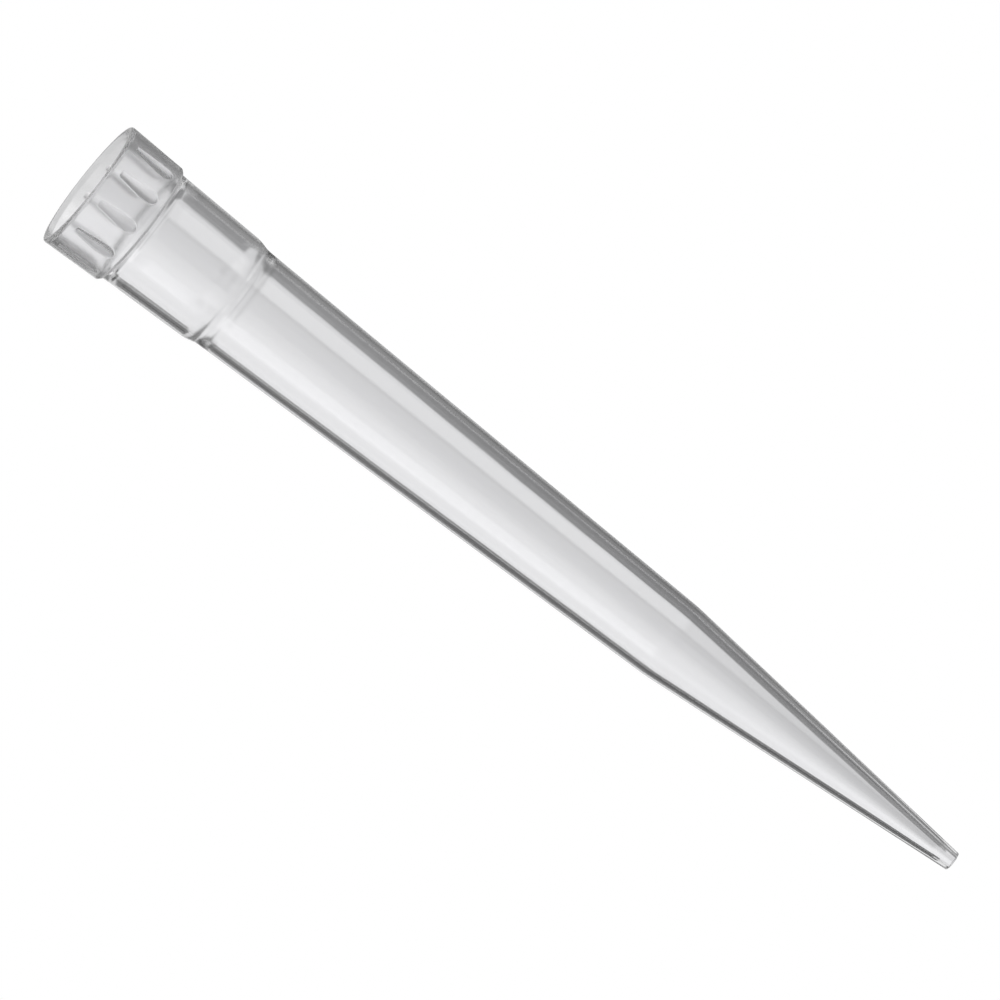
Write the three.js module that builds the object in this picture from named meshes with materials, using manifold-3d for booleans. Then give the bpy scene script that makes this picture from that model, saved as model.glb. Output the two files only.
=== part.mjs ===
// Disposable tip for a 1000 microlitre pipette: one clear polypropylene moulding.
// Millimetres. The tip stands on its mouth: the rim lies on Z = 0 and the nose points up along +Z.

import * as THREE from "three";
import { mergeVertices } from "three/addons/utils/BufferGeometryUtils.js";
import Module from "manifold-3d";

const wasm = await Module();
wasm.setup();

// Lengths along the axis, from the mouth to the end of the nose.
const totalLength = 70.0;
const collarHeight = 4.3;
const barrelLength = 6.45;
const shoulderLength = 0.8;
const coneLength = 35.5;

// Outside radii. The collar sets the size, and each step or taper below it takes some radius away.
const rimRadius = 4.54;
const collarTaper = 0.15;
const ledgeWidth = 0.3;
const barrelTaper = 0.2;
const shoulderDrop = 0.21;
const coneTaper = 0.94;
const noseEndRadius = 0.65;

// Wall thickness at each station, and the hole at the end of the nose.
const collarWall = 0.55;
const barrelWall = 0.5;
const coneWall = 0.44;
const kneeWall = 0.38;
const orificeRadius = 0.375;

// Steps inside the bore: behind the ledge, and where the pipette's nozzle stops.
const ledgeCover = 0.2;
const innerStepLength = 0.55;
const nozzleStopOffset = 0.65;
const nozzleStopLength = 0.8;

// Broken edges and fillets.
const leadInWidth = 0.15;
const leadInHeight = 0.3;
const rimRound = 0.15;
const ledgeChamferWidth = 0.18;
const ledgeChamferHeight = 0.2;
const ledgeFillet = 0.04;
const shoulderRound = 2.3;
const kneeRound = 9.0;
const innerStepRound = 1.0;
const nozzleStopRound = 2.9;
const endRound = 0.04;

// Ribs inside the collar, narrow towards the mouth and full and round towards the inner step.
const ribCount = 11;
const ribStart = 0.85;
const ribEndGap = 0.45;
const ribWidth = 0.8;
const ribHeight = 0.13;
const ribNarrowWidth = 0.4;
const ribRoot = 0.06;

// Facets. The turned wall has a whole number of them to each rib, and a rib stands in the middle of one.
const segmentsPerRib = 8;
const largestArcStep = THREE.MathUtils.degToRad(31);
const leastArcSteps = 2;
const ribSides = 8;
const ribArcDivisions = 2;

// Stations that the outside and the bore share.
const shoulderStart = collarHeight + barrelLength;
const shoulderEnd = shoulderStart + shoulderLength;
const kneeHeight = shoulderEnd + coneLength;
const collarFootRadius = rimRadius - collarTaper;
const barrelRadius = collarFootRadius - ledgeWidth;
const barrelEndRadius = barrelRadius - barrelTaper;
const coneRadius = barrelEndRadius - shoulderDrop;
const kneeRadius = coneRadius - coneTaper;
const mouthRadius = rimRadius - collarWall;
const collarBoreEnd = collarHeight - ledgeCover;
const ribEnd = collarBoreEnd - ribEndGap;
const collarBoreRadius = mouthRadius - (collarTaper * collarBoreEnd) / collarHeight;
const nozzleStopStart = shoulderStart + nozzleStopOffset;
const nozzleStopEnd = nozzleStopStart + nozzleStopLength;
const coneRadiusAtStop = coneRadius - (coneTaper * (nozzleStopEnd - shoulderEnd)) / coneLength;

// A corner of the wall's section: radius from the axis, height, and the radius of the round on it.
function corner(radius, height, round = 0) {
  return { at: new THREE.Vector2(radius, height), round };
}

// The section as a closed line, with an arc at each rounded corner.
function roundedOutline(corners) {
  const points = [];
  corners.forEach(({ at, round }, index) => {
    const before = corners.at(index - 1).at.clone().sub(at);
    const after = corners[(index + 1) % corners.length].at.clone().sub(at);
    if (round === 0) {
      points.push(at.clone());
      return;
    }
    const half = before.angleTo(after) / 2;
    const room = Math.min(before.length(), after.length()) / 2;
    const tangent = Math.min(round / Math.tan(half), room);
    const reach = tangent / Math.cos(half);
    const middle = before.normalize().clone().add(after.normalize()).normalize();
    const centre = at.clone().addScaledVector(middle, reach);
    const from = at.clone().addScaledVector(before, tangent).sub(centre);
    const sweep = Math.PI - 2 * half;
    const turn = Math.sign(before.cross(after)) * -1;
    const steps = Math.max(leastArcSteps, Math.ceil(sweep / largestArcStep));
    for (let step = 0; step <= steps; step += 1) {
      const angle = (turn * sweep * step) / steps;
      points.push(from.clone().rotateAround(new THREE.Vector2(), angle).add(centre));
    }
  });
  points.push(points[0].clone());
  return points;
}

// Turned solids are made round the Y axis and then stood up along Z.
function turned(outline, segments) {
  return new THREE.LatheGeometry(outline, segments).rotateX(Math.PI / 2);
}

function toSolid(geometry) {
  const bare = geometry.clone();
  bare.deleteAttribute("normal");
  bare.deleteAttribute("uv");
  const merged = mergeVertices(bare);
  const mesh = new wasm.Mesh({
    numProp: 3,
    vertProperties: Float32Array.from(merged.attributes.position.array),
    triVerts: Uint32Array.from(merged.index.array),
  });
  return new wasm.Manifold(mesh);
}

function toGeometry(solid) {
  const { vertProperties, triVerts } = solid.getMesh();
  const geometry = new THREE.BufferGeometry();
  geometry.setAttribute("position", new THREE.BufferAttribute(vertProperties, 3));
  geometry.setIndex(new THREE.BufferAttribute(triVerts, 1));
  geometry.computeVertexNormals();
  return geometry;
}

// The wall: up the outside from the rim to the nose, then back down the bore.
function wallGeometry() {
  const outside = [
    corner(rimRadius, 0, rimRound),
    corner(collarFootRadius, collarHeight - ledgeChamferHeight),
    corner(collarFootRadius - ledgeChamferWidth, collarHeight),
    corner(barrelRadius, collarHeight, ledgeFillet),
    corner(barrelEndRadius, shoulderStart, shoulderRound),
    corner(coneRadius, shoulderEnd, shoulderRound),
    corner(kneeRadius, kneeHeight, kneeRound),
    corner(noseEndRadius, totalLength, endRound),
  ];
  const bore = [
    corner(orificeRadius, totalLength),
    corner(kneeRadius - kneeWall, kneeHeight, kneeRound),
    corner(coneRadiusAtStop - coneWall, nozzleStopEnd, nozzleStopRound),
    corner(barrelEndRadius - barrelWall, nozzleStopStart, nozzleStopRound),
    corner(barrelRadius - barrelWall, collarBoreEnd + innerStepLength, innerStepRound),
    corner(collarBoreRadius, collarBoreEnd, innerStepRound),
    corner(mouthRadius, leadInHeight),
    corner(mouthRadius + leadInWidth, 0),
  ];
  return turned(roundedOutline([...outside, ...bore]), ribCount * segmentsPerRib);
}

// One rib: a teardrop turned on its own axis, flattened, and laid into the wall of the collar's bore.
function ribGeometry() {
  const narrow = ribNarrowWidth / 2;
  const wide = ribWidth / 2;
  const between = ribEnd - ribStart - narrow - wide;
  const lean = Math.asin((wide - narrow) / between);
  const outline = new THREE.Path();
  outline.absarc(0, 0, narrow, -Math.PI / 2, -lean);
  outline.absarc(0, between, wide, -lean, Math.PI / 2);
  const points = outline.getPoints(ribArcDivisions);
  points[0].x = 0;
  points.at(-1).x = 0;
  const draft = Math.atan((mouthRadius - collarBoreRadius) / collarBoreEnd);
  const startHeight = ribStart + narrow;
  return turned(points, ribSides)
    .scale((ribHeight + ribRoot) / wide, 1, 1)
    .rotateY(-draft)
    .translate(mouthRadius + ribRoot - startHeight * Math.tan(draft), 0, startHeight);
}

function ribbedTip() {
  let tip = toSolid(wallGeometry());
  for (let index = 0; index < ribCount; index += 1) {
    const angle = (2 * Math.PI * (index + 0.5 / segmentsPerRib)) / ribCount;
    tip = tip.add(toSolid(ribGeometry().rotateZ(angle)));
  }
  return toGeometry(tip);
}

const clearPolypropylene = new THREE.MeshStandardMaterial({
  color: 0xe4e7e8,
  roughness: 0.12,
  metalness: 0,
  transparent: true,
  opacity: 0.45,
});

const tipBody = new THREE.Mesh(ribbedTip(), clearPolypropylene);
tipBody.name = "tip_body";

const pipetteTip = new THREE.Group();
pipetteTip.add(tipBody);

export default pipetteTip;
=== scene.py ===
import math

import bmesh
import bpy
from mathutils import Matrix, Vector


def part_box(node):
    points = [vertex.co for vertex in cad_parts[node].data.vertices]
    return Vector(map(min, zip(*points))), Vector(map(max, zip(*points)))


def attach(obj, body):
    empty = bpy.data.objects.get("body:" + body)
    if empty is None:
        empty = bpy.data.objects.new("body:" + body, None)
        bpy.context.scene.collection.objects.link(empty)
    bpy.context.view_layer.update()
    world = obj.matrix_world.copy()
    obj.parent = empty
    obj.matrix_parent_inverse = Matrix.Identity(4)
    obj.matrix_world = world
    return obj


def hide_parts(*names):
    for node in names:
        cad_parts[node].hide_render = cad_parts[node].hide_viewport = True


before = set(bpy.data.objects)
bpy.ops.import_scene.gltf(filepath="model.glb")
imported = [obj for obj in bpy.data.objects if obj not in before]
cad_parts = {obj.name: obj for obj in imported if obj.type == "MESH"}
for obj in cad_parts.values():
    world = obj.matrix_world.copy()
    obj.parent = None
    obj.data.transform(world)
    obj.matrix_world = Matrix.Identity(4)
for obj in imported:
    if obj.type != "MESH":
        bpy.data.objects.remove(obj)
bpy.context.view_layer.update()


# The tip: one injection moulding in clear natural polypropylene, open from the mouth to the fine
# hole in its nose. A polished core and cavity leave both skins glossy, and the wall thins towards
# the nose.
MM = 0.001

# Lengths along the axis, from the mouth to the end of the nose.
_, tip_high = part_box("tip_body")
length = tip_high.z
collar_height = 4.3 * MM
barrel_length = 6.45 * MM
shoulder_length = 0.8 * MM
cone_length = 35.5 * MM
shoulder_start = collar_height + barrel_length
shoulder_end = shoulder_start + shoulder_length
knee_height = shoulder_end + cone_length

# Outside radii. Each step or taper after the collar's rim takes some radius away.
rim_radius = 4.54 * MM
collar_taper = 0.15 * MM
ledge_width = 0.3 * MM
barrel_taper = 0.2 * MM
shoulder_drop = 0.21 * MM
cone_taper = 0.94 * MM
nose_end = 0.65 * MM
collar_foot = rim_radius - collar_taper
barrel_top = collar_foot - ledge_width
barrel_end = barrel_top - barrel_taper
cone_top = barrel_end - shoulder_drop
knee = cone_top - cone_taper

# Walls, and the steps of the bore: behind the ledge, and where the pipette's nozzle stops.
collar_wall = 0.55 * MM
barrel_wall = 0.5 * MM
cone_wall = 0.44 * MM
knee_wall = 0.38 * MM
orifice = 0.375 * MM
ledge_cover = 0.2 * MM
inner_step = 0.55 * MM
stop_offset = 0.65 * MM
stop_length = 0.8 * MM
bore_step = collar_height - ledge_cover
stop_start = shoulder_start + stop_offset
stop_end = stop_start + stop_length
mouth = rim_radius - collar_wall
bore_at_step = mouth - collar_taper * bore_step / collar_height
stop_radius = cone_top - cone_taper * (stop_end - shoulder_end) / (knee_height - shoulder_end)

# Broken edges, and how far along the wall each kind of round reaches from its corner.
ledge_chamfer_width = 0.18 * MM
ledge_chamfer_height = 0.2 * MM
lead_in_width = 0.15 * MM
lead_in_height = 0.3 * MM
sharp = 0.03 * MM
eased = 0.04 * MM
lead_in_round = 0.05 * MM
rim_round = 0.16 * MM
step_round = 0.24 * MM
long_round = 0.3 * MM

tip_mesh = bmesh.new()


def station(radius, height, reach, segments):
    """One corner of the wall's section: its radius, its height, and the round on it."""
    return tip_mesh.verts.new((radius, 0.0, height)), reach, segments


# Up the outside from the rim to the nose, then back down the bore.
section = [
    station(rim_radius, 0.0, rim_round, 8),
    station(collar_foot, collar_height - ledge_chamfer_height, eased, 3),
    station(collar_foot - ledge_chamfer_width, collar_height, sharp, 3),
    station(barrel_top, collar_height, eased, 3),
    station(barrel_end, shoulder_start, long_round, 8),
    station(cone_top, shoulder_end, long_round, 8),
    station(knee, knee_height, long_round, 4),
    station(nose_end, length, eased, 4),
    station(orifice, length, sharp, 3),
    station(knee - knee_wall, knee_height, long_round, 4),
    station(stop_radius - cone_wall, stop_end, long_round, 8),
    station(barrel_end - barrel_wall, stop_start, long_round, 8),
    station(barrel_top - barrel_wall, bore_step + inner_step, step_round, 8),
    station(bore_at_step, bore_step, step_round, 8),
    station(mouth, lead_in_height, lead_in_round, 3),
    station(mouth + lead_in_width, 0.0, sharp, 3),
]
corners = [vert for vert, _, _ in section]
for index, vert in enumerate(corners):
    tip_mesh.edges.new((vert, corners[(index + 1) % len(corners)]))
for vert, reach, segments in section:
    bmesh.ops.bevel(
        tip_mesh, geom=[vert], offset=reach, offset_type="OFFSET", affect="VERTICES",
        segments=segments, profile=0.5, material=-1,
    )

# The long runs are divided before the spin, and finely in the collar's bore, where the ribs rise.
shortest_run = 1.2 * MM
near_mouth = 1.0 * MM
skin = 0.01 * MM
plain_step = 1.5 * MM
rib_step = 0.05 * MM
long_runs = [edge for edge in tip_mesh.edges if edge.calc_length() > shortest_run]
for edge in long_runs:
    starts_low = min(vert.co.z for vert in edge.verts) < near_mouth
    inside = max(vert.co.x for vert in edge.verts) < mouth + skin
    step = rib_step if starts_low and inside else plain_step
    cuts = max(1, round(edge.calc_length() / step) - 1)
    bmesh.ops.subdivide_edges(tip_mesh, edges=[edge], cuts=cuts)
facets = 396
weld = 1e-7
bmesh.ops.spin(
    tip_mesh, geom=tip_mesh.verts[:] + tip_mesh.edges[:], cent=(0, 0, 0), axis=(0, 0, 1),
    angle=math.tau, steps=facets, use_merge=True,
)
bmesh.ops.remove_doubles(tip_mesh, verts=tip_mesh.verts[:], dist=weld)
tip_mesh.verts.index_update()
vert_count = len(tip_mesh.verts)


def face_order(face):
    """A number of its own for each face, from the first and the last of its corners."""
    numbers = [vert.index for vert in face.verts]
    return min(numbers) * vert_count + max(numbers)


# The spin makes its faces in an order that changes from run to run, and sorting them settles it.
tip_mesh.faces.sort(key=face_order)
bmesh.ops.recalc_face_normals(tip_mesh, faces=tip_mesh.faces[:])

# Eleven low ribs inside the collar, narrow at the mouth and full and round towards the ledge. The
# first stands a sixteenth of the pitch round from the X axis. The mould leaves their crowns rougher
# than the wall between them, and a layer keeps where that is.
rib_count = 11
pitch = math.tau / rib_count
first_rib = pitch / 16
rib_start = 0.85 * MM
rib_end = bore_step - 0.45 * MM
rib_height = 0.13 * MM
rib_half_width = 0.49 * MM
rib_narrow = 0.24 * MM
widening = 1.6
rib_texture = tip_mesh.verts.layers.float.new("rib_texture")
for vert in tip_mesh.verts:
    height = vert.co.z
    radius = math.hypot(vert.co.x, vert.co.y)
    if not (rib_start < height < rib_end and radius < mouth + skin):
        continue
    angle = math.atan2(vert.co.y, vert.co.x) - first_rib
    across = abs(angle - pitch * round(angle / pitch)) * radius
    along = (height - rib_start) / (rib_end - rib_start)
    half = rib_narrow + (rib_half_width - rib_narrow) * min(1.0, widening * along)
    from_end = rib_end - height
    if from_end < rib_half_width:
        half *= math.sqrt(1 - (1 - from_end / rib_half_width) ** 2)
    if across < half:
        crown = (1 - (across / half) ** 2) ** 2
        swell = crown * rib_height * min(1.0, half / rib_half_width)
        vert[rib_texture] = math.sqrt(crown)
        vert.co.x -= swell * vert.co.x / radius
        vert.co.y -= swell * vert.co.y / radius

tip_data = bpy.data.meshes.new("clear_tip")
tip_mesh.to_mesh(tip_data)
tip_mesh.free()
tip_data.polygons.foreach_set("use_smooth", [True] * len(tip_data.polygons))
clear_tip = bpy.data.objects.new("clear_tip", tip_data)
bpy.context.collection.objects.link(clear_tip)


def feed(tree, value, socket):
    """Links a socket to another node's output, or sets it to a plain value."""
    if isinstance(value, bpy.types.NodeSocket):
        tree.links.new(value, socket)
    else:
        socket.default_value = value


def math_node(tree, operation, *values):
    """A Math node on sockets or numbers; gives back its output."""
    node = tree.nodes.new("ShaderNodeMath")
    node.operation = operation
    for value, socket in zip(values, node.inputs):
        feed(tree, value, socket)
    return node.outputs["Value"]


def ease(tree, value, start, end, first=0.0, last=1.0, interpolation="SMOOTHSTEP"):
    """Goes from first to last while the value goes from start to end."""
    node = tree.nodes.new("ShaderNodeMapRange")
    node.interpolation_type = interpolation
    names = ("Value", "From Min", "From Max", "To Min", "To Max")
    for name, part in zip(names, (value, start, end, first, last)):
        feed(tree, part, node.inputs[name])
    return node.outputs["Result"]


def noise(tree, vector, scale, detail):
    """A Noise Texture; gives back its plain output."""
    node = tree.nodes.new("ShaderNodeTexNoise")
    for name, part in (("Vector", vector), ("Scale", scale), ("Detail", detail)):
        feed(tree, part, node.inputs[name])
    return node.outputs["Fac"]


clear_plastic = bpy.data.materials.new("clear_polypropylene")
clear_plastic.use_nodes = True
tree = clear_plastic.node_tree
shader = tree.nodes["Principled BSDF"]
shader.inputs["Transmission Weight"].default_value = 1.0
shader.inputs["IOR"].default_value = 1.49
place = tree.nodes.new("ShaderNodeTexCoord").outputs["Object"]
split = tree.nodes.new("ShaderNodeSeparateXYZ")
feed(tree, place, split.inputs["Vector"])
up_axis = split.outputs["Z"]
drawn_out = 0.12
flow = tree.nodes.new("ShaderNodeMapping")
flow.inputs["Scale"].default_value = (1, 1, drawn_out)
feed(tree, place, flow.inputs["Vector"])
along_flow = flow.outputs["Vector"]

# Clouding in the melt: a faint change of tint, drawn out along the flow from the mouth to the nose.
tint = tree.nodes.new("ShaderNodeValToRGB")
clouded, clear = tint.color_ramp.elements
clouded.position = 0.3
clouded.color = (0.979, 0.979, 0.988, 1)
clear.position = 0.7
clear.color = (0.991, 0.991, 0.999, 1)
feed(tree, noise(tree, along_flow, 420, 3), tint.inputs["Fac"])
feed(tree, tint.outputs["Color"], shader.inputs["Base Color"])

# The collar comes out matt, its ribs more so, and above it the mould is polished, a little less
# well at the shoulder. The polish is uneven.
matt_collar = 0.125
polished = 0.025
dull_shoulder = 0.08
rough_rib = 0.46
unevenness = 0.012
matt_end = collar_height - 0.05 * MM
polish_start = collar_height + 0.25 * MM
dull_reach = 0.5 * MM
dull_end = 1.3 * MM
matt = ease(tree, up_axis, matt_end, polish_start, matt_collar, polished, "LINEAR")
from_shoulder = math_node(tree, "SUBTRACT", up_axis, 0.5 * (shoulder_start + stop_end))
either_side = math_node(tree, "ABSOLUTE", from_shoulder)
dull = ease(tree, either_side, dull_reach, dull_end, dull_shoulder, 0.0)
crowns = tree.nodes.new("ShaderNodeAttribute")
crowns.attribute_name = "rib_texture"
smooth_wall = math_node(tree, "ADD", matt, dull)
with_ribs = math_node(tree, "MULTIPLY_ADD", crowns.outputs["Fac"], rough_rib, smooth_wall)
polish = noise(tree, place, 1500, 4)
roughness = math_node(tree, "MULTIPLY_ADD", polish, unevenness, with_ribs)
feed(tree, roughness, shader.inputs["Roughness"])

# Flow lines: ripples a few thousandths of a millimetre high that run along the wall.
ripple = tree.nodes.new("ShaderNodeBump")
ripple.inputs["Strength"].default_value = 1.0
ripple.inputs["Distance"].default_value = 0.004 * MM
feed(tree, noise(tree, along_flow, 900, 2), ripple.inputs["Height"])
feed(tree, ripple.outputs["Normal"], shader.inputs["Normal"])
tip_data.materials.append(clear_plastic)

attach(clear_tip, "root")
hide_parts("tip_body")


# The camera looks slightly up into the mouth, from well back with a long lens, and is rolled so
# that the nose points down to the right.
view_azimuth = first_rib - 3 * pitch + math.radians(83)
view_rise = math.radians(-9)
roll = math.radians(128.1)
distance = 1.0
off_centre = Vector((-1.41, 1.53, 0)) * MM
camera = bpy.data.objects.new("camera", bpy.data.cameras.new("camera"))
bpy.context.collection.objects.link(camera)
bpy.context.scene.camera = camera
camera.data.lens = 572.3
camera.data.clip_start = 0.01
back = Vector((
    math.sin(view_azimuth) * math.cos(view_rise),
    -math.cos(view_azimuth) * math.cos(view_rise),
    math.sin(view_rise),
))
look = (-back).to_track_quat("-Z", "Y").to_matrix().to_4x4() @ Matrix.Rotation(roll, 4, "Z")
aim = Vector((0, 0, 0.5 * length)) + look.to_3x3() @ off_centre
camera.matrix_world = Matrix.Translation(aim + back * distance) @ look


# The floor: a pale board that fades into the white backdrop, and isn't seen from beneath. It is
# left out of what the clear plastic bends, so that the plastic shows the cards round the studio.
half_side = 4.0
just_below = -0.02 * MM
floor_mesh = bmesh.new()
bmesh.ops.create_grid(floor_mesh, x_segments=1, y_segments=1, size=half_side)
floor_data = bpy.data.meshes.new("floor")
floor_mesh.to_mesh(floor_data)
floor_mesh.free()
floor = bpy.data.objects.new("floor", floor_data)
bpy.context.collection.objects.link(floor)
floor.location.z = just_below
floor.visible_glossy = False
floor.visible_transmission = False

pale = bpy.data.materials.new("pale_floor")
pale.use_nodes = True
tree = pale.node_tree
board = tree.nodes["Principled BSDF"]
board.inputs["Base Color"].default_value = (0.84, 0.84, 0.84, 1)
board.inputs["Roughness"].default_value = 0.7
board.inputs["Specular IOR Level"].default_value = 0.2
backdrop = tree.nodes.new("ShaderNodeEmission")
from_centre = tree.nodes.new("ShaderNodeVectorMath")
from_centre.operation = "LENGTH"
feed(tree, tree.nodes.new("ShaderNodeTexCoord").outputs["Object"], from_centre.inputs[0])
board_edge = 0.06
backdrop_start = 0.35
fade = ease(tree, from_centre.outputs["Value"], board_edge, backdrop_start)
beneath = tree.nodes.new("ShaderNodeNewGeometry").outputs["Backfacing"]
unseen = tree.nodes.new("ShaderNodeBsdfTransparent")


def mix_shaders(tree, share, first, second):
    """Goes from the first shader to the second by share; gives back its output."""
    node = tree.nodes.new("ShaderNodeMixShader")
    for value, socket in zip((share, first, second), node.inputs):
        feed(tree, value, socket)
    return node.outputs["Shader"]


from_above = mix_shaders(tree, fade, board.outputs["BSDF"], backdrop.outputs["Emission"])
floor_look = mix_shaders(tree, beneath, from_above, unseen.outputs["BSDF"])
feed(tree, floor_look, tree.nodes["Material Output"].inputs["Surface"])
floor_data.materials.append(pale)


# The lamp: one large soft box overhead, which lights the floor and gives the tip its shadow. The
# plastic doesn't mirror it.
lamp_data = bpy.data.lights.new("overhead_softbox", "AREA")
lamp_data.shape = "SQUARE"
lamp_data.size = 0.9
lamp_data.energy = 10.5
lamp = bpy.data.objects.new("overhead_softbox", lamp_data)
bpy.context.collection.objects.link(lamp)
lamp.location = (0.25, -0.2, 1.15)
lamp.rotation_euler = (-lamp.location).to_track_quat("-Z", "Y").to_euler()
lamp.visible_glossy = False
lamp.visible_transmission = False


# The studio: a white backdrop between two dark flags, with a softbox on each side, all set up round
# the line of sight. The tip is clear, so its tones are those of the cards that it bends into view.
world = bpy.data.worlds.new("studio")
bpy.context.scene.world = world
world.use_nodes = True
tree = world.node_tree
tree.nodes.clear()
direction = tree.nodes.new("ShaderNodeTexCoord").outputs["Generated"]
turn = tree.nodes.new("ShaderNodeMapping")
turn.inputs["Rotation"].default_value = (0, 0, -view_azimuth)
feed(tree, direction, turn.inputs["Vector"])
split = tree.nodes.new("ShaderNodeSeparateXYZ")
feed(tree, turn.outputs["Vector"], split.inputs["Vector"])
rise = split.outputs["Z"]
leftward = math_node(tree, "MULTIPLY", split.outputs["X"], -1)
turned = math_node(tree, "ARCTAN2", leftward, split.outputs["Y"])
bearing = math_node(tree, "MULTIPLY_ADD", turned, 1 / math.tau, 0.5)
brightest = 2.0


def mix(tree, share, first, second):
    """Goes from the first level to the second by share; gives back its output."""
    node = tree.nodes.new("ShaderNodeMix")
    for value, index in ((share, 0), (first, 2), (second, 3)):
        feed(tree, value, node.inputs[index])
    return node.outputs[0]


def cards(front, softbox):
    """Level by direction: pairs of degrees and brightness, left is positive, with straight runs
    between them. The same cards stand behind the camera at every height."""
    levels = [
        (-180, 0.9), (-142, 0.9), (-138, 0.25), *front,
        (67, 0.3), (97, 0.3), (99, softbox), (134, softbox), (137, 0.0), (172, 0.0),
    ]
    ramp = tree.nodes.new("ShaderNodeValToRGB")
    while len(ramp.color_ramp.elements) < len(levels):
        ramp.color_ramp.elements.new(0.5)
    for element, (degrees, _) in zip(ramp.color_ramp.elements, levels):
        element.position = 0.5 + degrees / 360
    for element, (_, level) in zip(ramp.color_ramp.elements, levels):
        element.color = (level / brightest, level / brightest, level / brightest, 1)
    feed(tree, bearing, ramp.inputs["Fac"])
    return math_node(tree, "MULTIPLY", ramp.outputs["Color"], brightest)


def studio(centre, right_edge, right_gap, left_flag, left_card):
    """The cards in front of the camera, at the heights where it looks along the wall."""
    return [
        (-68, 0.35), (-66, right_gap), (-51, right_gap), (-49, 0.12), (right_edge, 0.12),
        (right_edge + 1.5, 0.95), (-5, 0.92), (-1.3, centre + 0.17), (-0.4, centre + 0.09),
        (0.8, centre), (7.6, centre + 0.03), (8.4, left_flag), (16, left_flag),
        (19, 0.7 * left_flag), (30, 0.65 * left_flag), (33, 0.48 * left_card),
        (50, 0.5 * left_card), (54, left_card), (65, 0.92 * left_card),
    ]


# From the lowest height to the highest, each with the rise at which it takes over from the one
# below.
lowest = cards([
    (-68, 0.35), (-66, 0.7), (-51, 0.7), (-49, 0.75), (-19, 0.8), (-17.5, 0.95), (-5, 0.92),
    (-1.3, 0.85), (-0.4, 0.77), (0.8, 0.72), (7.6, 0.74), (8.4, 0.75), (16, 0.75), (19, 0.28),
    (30, 0.21), (33, 0.31), (50, 0.33), (54, 0.65), (65, 0.6),
], 0.9)
lower = cards(studio(0.68, -19, 0.7, 0.3, 0.65), 1.8)
middle = cards(studio(0.67, -19, 0.7, 0.22, 0.5), 1.8)
upper = cards(studio(0.55, -21, 0.3, 0.19, 0.4), 1.8)
over = cards(studio(0.66, -21, 0.1, 0.22, 0.45), 1.8)
top = cards([
    (-68, 0.3), (-66, 0.1), (-51, 0.1), (-49, 0.08), (-16, 0.08), (-12, 0.5), (-8, 0.64), (0, 0.66),
    (3, 0.64), (6, 0.2), (16, 0.2), (19, 0.14), (30, 0.13), (33, 0.31), (50, 0.33), (54, 0.65),
    (65, 0.6),
], 1.2)
level = lowest
for start, end, higher in (
    (0.05, 0.09, lower), (0.135, 0.16, middle), (0.163, 0.187, upper), (0.19, 0.205, over),
    (0.235, 0.26, top),
):
    level = mix(tree, ease(tree, rise, start, end), level, higher)

# A dark strip just below the horizon, which draws the shoulder's edge.
foot = cards([
    (-68, 0.3), (-66, 0.3), (-51, 0.3), (-49, 0.1), (-22, 0.08), (-12, 0.08), (-5, 0.2), (-2, 0.5),
    (0, 0.6), (3, 0.6), (7, 0.3), (16, 0.25), (30, 0.18), (33, 0.31), (50, 0.33), (54, 0.65),
    (65, 0.6),
], 0.9)
level = mix(tree, ease(tree, rise, -0.072, -0.11), level, foot)

# At the sides and well below the horizon, bright windows between dark strips, behind each plain
# side view, and an even grey near the line of sight.
window = 0.8
dark_strip = 0.14
even_grey = 0.42
compass = tree.nodes.new("ShaderNodeSeparateXYZ")
feed(tree, direction, compass.inputs["Vector"])
around = math_node(tree, "ARCTAN2", compass.outputs["X"], compass.outputs["Y"])
fourfold = math_node(tree, "COSINE", math_node(tree, "MULTIPLY", around, 4))
straight = ease(tree, fourfold, 0.62, 0.8)
diagonal = ease(tree, math_node(tree, "MULTIPLY", fourfold, -1), 0.62, 0.8)
deep = ease(tree, rise, -0.14, -0.2)
windows = math_node(tree, "MULTIPLY_ADD", mix(tree, deep, straight, diagonal), window, dark_strip)
sideways = math_node(tree, "ABSOLUTE", turned)
aside = ease(tree, sideways, math.radians(58), math.radians(66))
off_sight = ease(tree, sideways, math.radians(38), math.radians(52))
low_side = math_node(tree, "MULTIPLY", ease(tree, rise, 0.012, -0.012), aside)
low_share = math_node(tree, "MAXIMUM", low_side, deep)
level = mix(tree, low_share, level, mix(tree, off_sight, even_grey, windows))

# An even ceiling.
ceiling = 0.66
level = mix(tree, ease(tree, rise, 0.32, 0.42), level, ceiling)

surround = tree.nodes.new("ShaderNodeBackground")
feed(tree, level, surround.inputs["Color"])
plain = tree.nodes.new("ShaderNodeBackground")
plain.inputs["Color"].default_value = (1, 1, 1, 1)
seen = tree.nodes.new("ShaderNodeLightPath").outputs["Is Camera Ray"]
world_look = mix_shaders(tree, seen, surround.outputs["Background"], plain.outputs["Background"])
feed(tree, world_look, tree.nodes.new("ShaderNodeOutputWorld").inputs["Surface"])

# A ray may be bent and mirrored many times inside the wall before it leaves it.
bounces = 128
bpy.context.scene.cycles.max_bounces = bounces
bpy.context.scene.cycles.transmission_bounces = bounces
bpy.context.scene.cycles.glossy_bounces = bounces
bpy.context.scene.view_settings.view_transform = "Standard"
